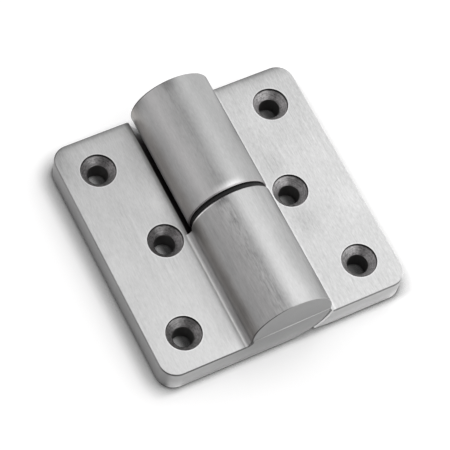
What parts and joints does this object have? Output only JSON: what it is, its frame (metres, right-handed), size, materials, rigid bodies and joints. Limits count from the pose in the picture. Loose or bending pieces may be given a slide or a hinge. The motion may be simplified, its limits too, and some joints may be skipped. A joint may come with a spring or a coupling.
{
  "type": "lift-off hinge",
  "caption": "Cast lift-off hinge: flat countersunk leaves, each cast with a full round knuckle, turning on a fixed pin over a thrust washer and folding face to face.",
  "frame": {"origin": "in the back plane, under the pin's axis, halfway along the leaves' length", "axes": "+X from the fixed leaf to the lifting leaf, +Y along the pin in the direction that the lifting leaf slides off, +Z out of the countersunk front faces"},
  "size_m": [0.07, 0.0707, 0.0224],
  "materials": {
    "satin_stainless": "fine brushed grain along the pin, satin",
    "ground_pin": "ground bright",
    "black_nylon": "dull black"
  },
  "bodies": {
    "fixed": {"fixed_leaf": "satin_stainless", "hinge_pin": "ground_pin"},
    "washer": {"thrust_washer": "black_nylon"},
    "lifting": {"lifting_leaf": "satin_stainless"}
  },
  "joints": [
    {"name": "swing", "type": "hinge", "parent": "fixed", "child": "washer", "pos_m": [0, 0, 0.0112], "axis": [0, -1, 0], "range_deg": [-60, 180]},
    {"name": "lift_off", "type": "slide", "parent": "washer", "child": "lifting", "axis": [0, 1, 0], "range_m": [0, 0.026]}
  ]
}
